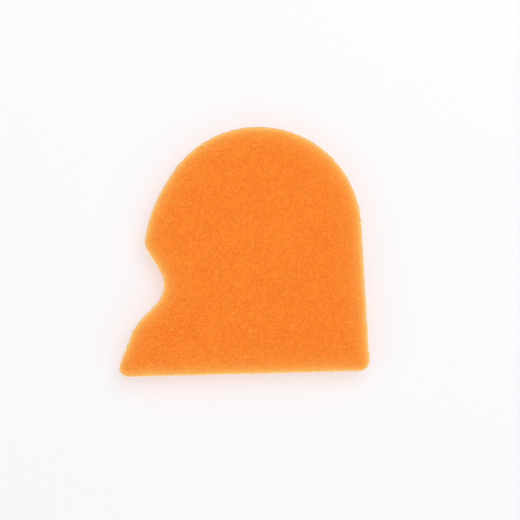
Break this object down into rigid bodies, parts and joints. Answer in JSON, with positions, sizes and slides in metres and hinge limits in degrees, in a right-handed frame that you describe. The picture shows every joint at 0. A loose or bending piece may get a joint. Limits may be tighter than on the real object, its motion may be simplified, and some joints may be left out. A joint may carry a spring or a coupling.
{
  "type": "foam air filter element",
  "caption": "Flat open-cell foam filter element, with a round crown, a straight base and a hollow for a screw boss.",
  "frame": {"origin": "middle of the outline's box, on the face that lies on the air box grille", "axes": "+X from the toe to the heel along the straight base, +Y from the base to the crown, +Z through the sheet towards the cover"},
  "size_m": [0.15, 0.148, 0.015],
  "materials": {
    "foam": "matte open-cell foam, orange"
  },
  "bodies": {
    "root": {"foam_element": "foam"}
  },
  "joints": []
}
